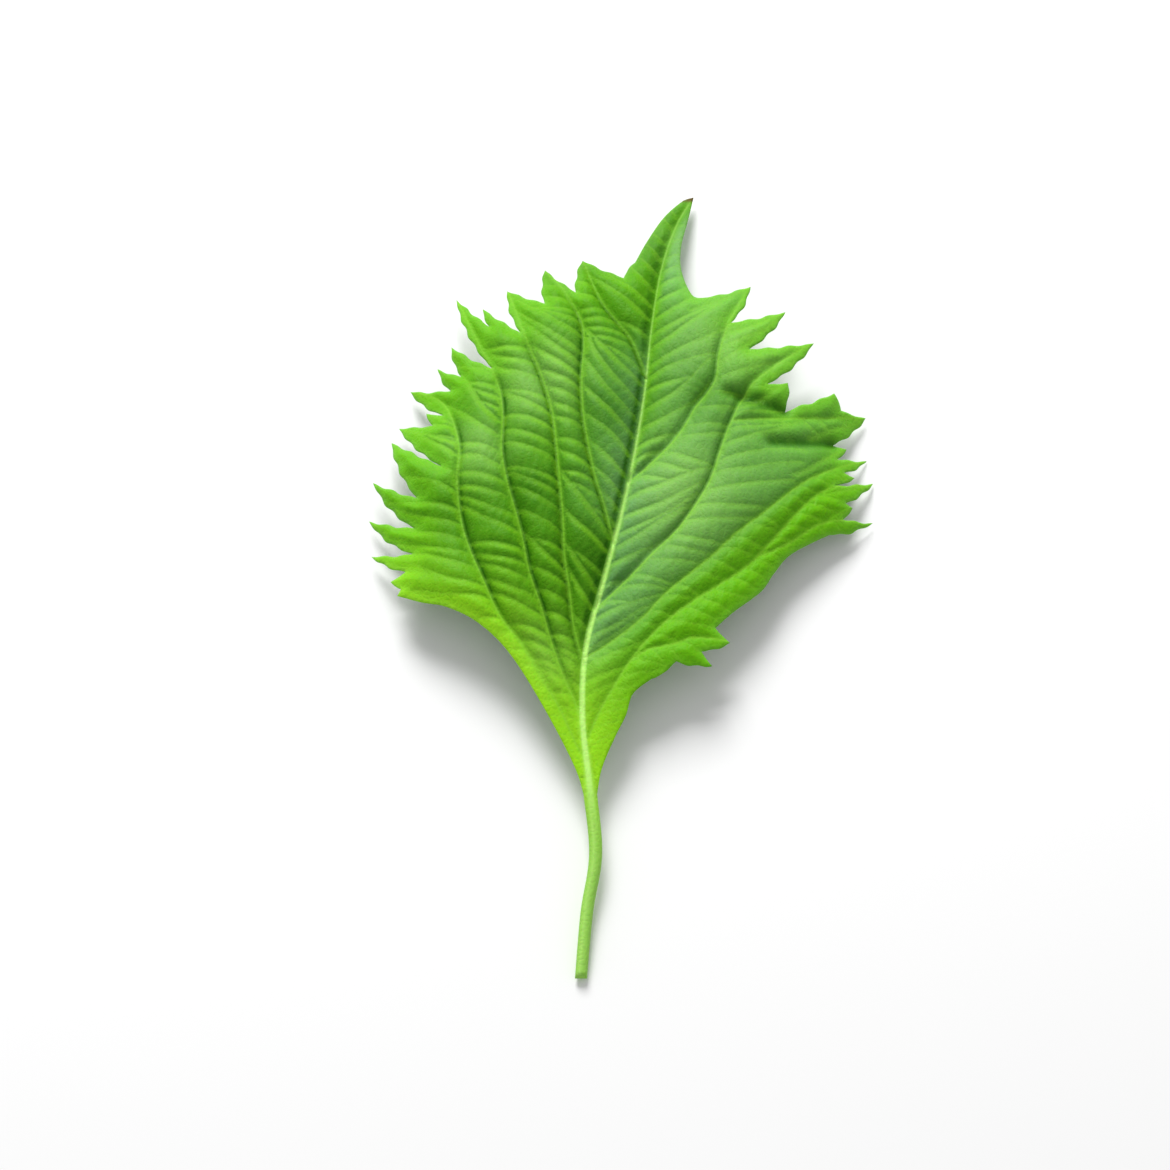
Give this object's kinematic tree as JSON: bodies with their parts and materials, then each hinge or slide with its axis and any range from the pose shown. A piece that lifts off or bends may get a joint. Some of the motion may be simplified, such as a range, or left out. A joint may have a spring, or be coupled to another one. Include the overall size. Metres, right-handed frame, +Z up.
{
  "type": "shiso leaf",
  "caption": "Single green perilla leaf with a jagged toothed margin, drawn-out tip and cut stalk, lying with its upper side up.",
  "frame": {"origin": "on the surface the leaf lies on, under the middle of its bounding box", "axes": "+Y from the cut end of the stalk towards the tip, +Z up out of the upper side, +X to the right as seen from above with the tip ahead"},
  "size_m": [0.0724, 0.1194, 0.0088],
  "materials": {
    "leaf": "fresh green leaf, finely wrinkled and softly glossy, paler along the veins and stalk"
  },
  "bodies": {
    "root": {"shiso_leaf": "leaf"}
  },
  "joints": []
}
